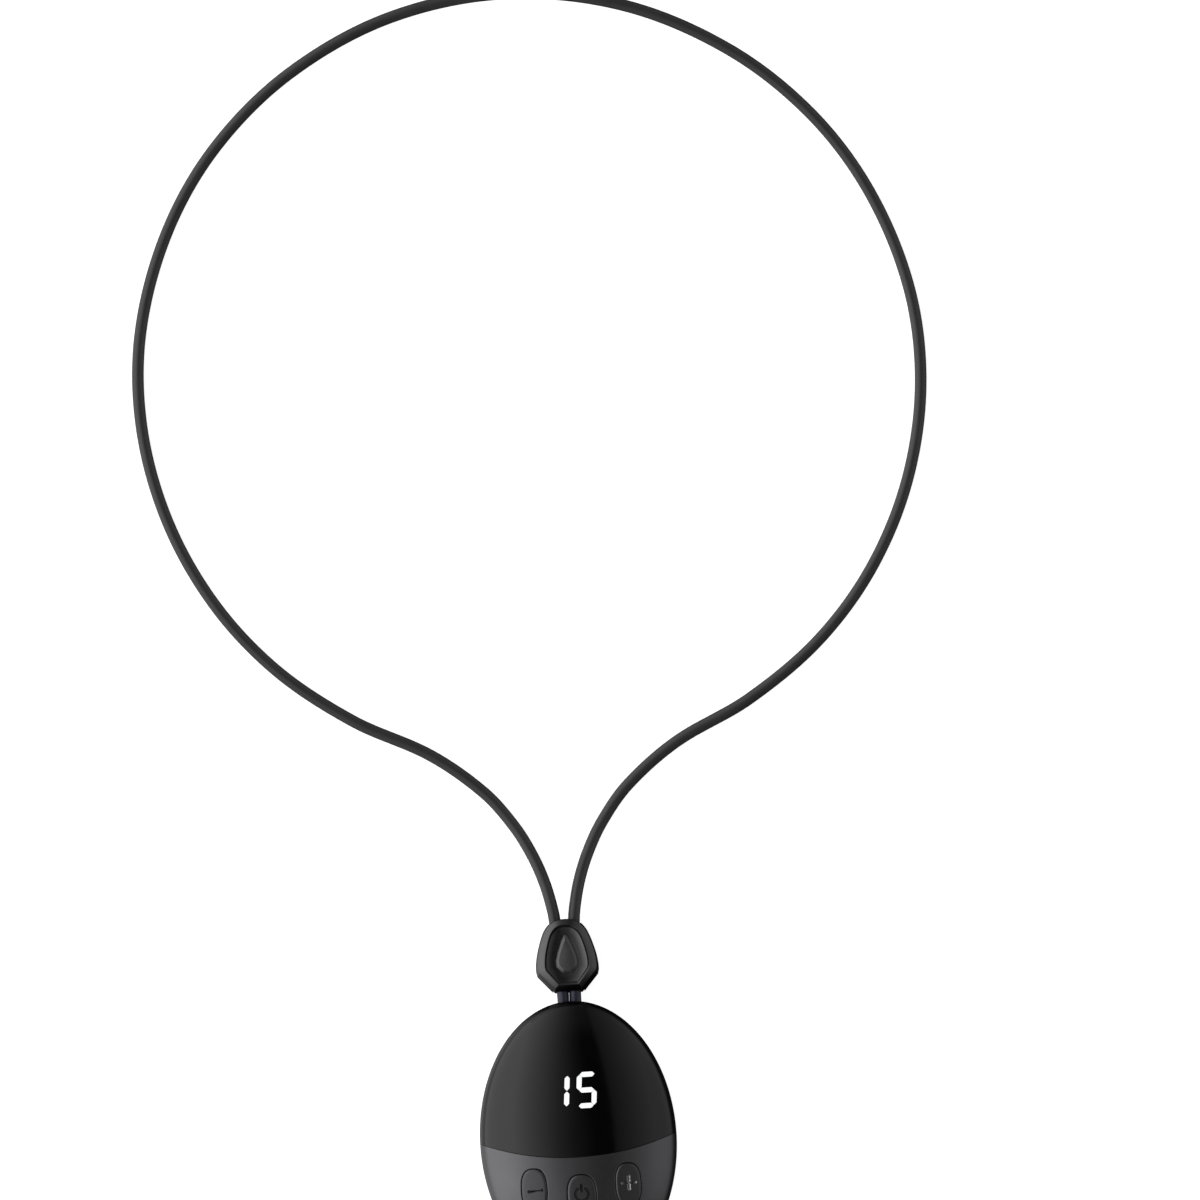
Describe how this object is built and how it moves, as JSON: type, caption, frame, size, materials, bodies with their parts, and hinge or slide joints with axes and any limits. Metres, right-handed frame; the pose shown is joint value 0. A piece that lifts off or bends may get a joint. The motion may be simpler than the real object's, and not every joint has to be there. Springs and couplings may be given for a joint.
{
  "type": "neck-worn pulse pendant",
  "caption": "Egg-shaped neck pendant with a glossy number window and small press keys, on a round cord that loops through a teardrop slider.",
  "frame": {"origin": "on the resting surface, under the centre of the pendant's ellipse", "axes": "+Z out of the pendant's face, +Y from the pendant towards its cord, +X to the right of the display"},
  "size_m": [0.1736, 0.2825, 0.016],
  "materials": {
    "window": "high gloss, smoked black",
    "graphite": "satin graphite lacquer with a fine metallic grain",
    "rear_graphite": "satin, finely textured",
    "key": "satin",
    "digits": "white light guide, lit",
    "cord": "smooth satin",
    "slider": "satin with polished bevels",
    "electrode": "brushed stainless",
    "steel": "plated, satin",
    "seal": "matt",
    "board": "solder mask",
    "chip": "matt moulded",
    "copper": "gold-plated or bare copper, satin",
    "battery": "foil pouch",
    "foam": "closed-cell foam"
  },
  "bodies": {
    "root": {"front_window": "window", "front_panel": "graphite", "rear_shell": "rear_graphite", "front_frame": "chip", "seal_ring": "seal", "display_module": "chip", "display_light_guide": "digits", "minus_switch": "chip", "mode_switch": "chip", "plus_switch": "chip", "main_board": "board", "controller_chip": "chip", "boost_coil": "copper", "buzzer": "chip", "battery": "battery", "battery_pad": "foam", "board_screw_1": "steel", "board_screw_2": "steel", "board_screw_3": "steel", "board_screw_4": "steel", "electrode_upper": "electrode", "electrode_lower": "electrode", "contact_pin_upper": "copper", "contact_pin_lower": "copper", "charging_port": "steel", "port_tongue": "chip", "cord_grommet": "seal", "cord_anchor": "steel", "strand_left": "cord", "strand_right": "cord", "neck_cord": "cord"},
    "minus_key": {"minus_key": "key"},
    "mode_key": {"mode_key": "key"},
    "plus_key": {"plus_key": "key"},
    "slider": {"slider_body": "slider", "slider_back": "slider", "slider_inlay": "slider", "slider_grip": "seal"}
  },
  "joints": [
    {"name": "minus_press", "type": "slide", "parent": "root", "child": "minus_key", "axis": [0, 0, -1], "range_m": [0, 0.0004], "stiffness_N_per_m": 300, "springref_m": -0.002},
    {"name": "mode_press", "type": "slide", "parent": "root", "child": "mode_key", "axis": [0, 0, -1], "range_m": [0, 0.0004], "stiffness_N_per_m": 300, "springref_m": -0.002},
    {"name": "plus_press", "type": "slide", "parent": "root", "child": "plus_key", "axis": [0, 0, -1], "range_m": [0, 0.0004], "stiffness_N_per_m": 300, "springref_m": -0.002},
    {"name": "slider_travel", "type": "slide", "parent": "root", "child": "slider", "axis": [0, 1, 0], "range_m": [-0.001, 0.014], "deforming": ["neck_cord"]}
  ]
}
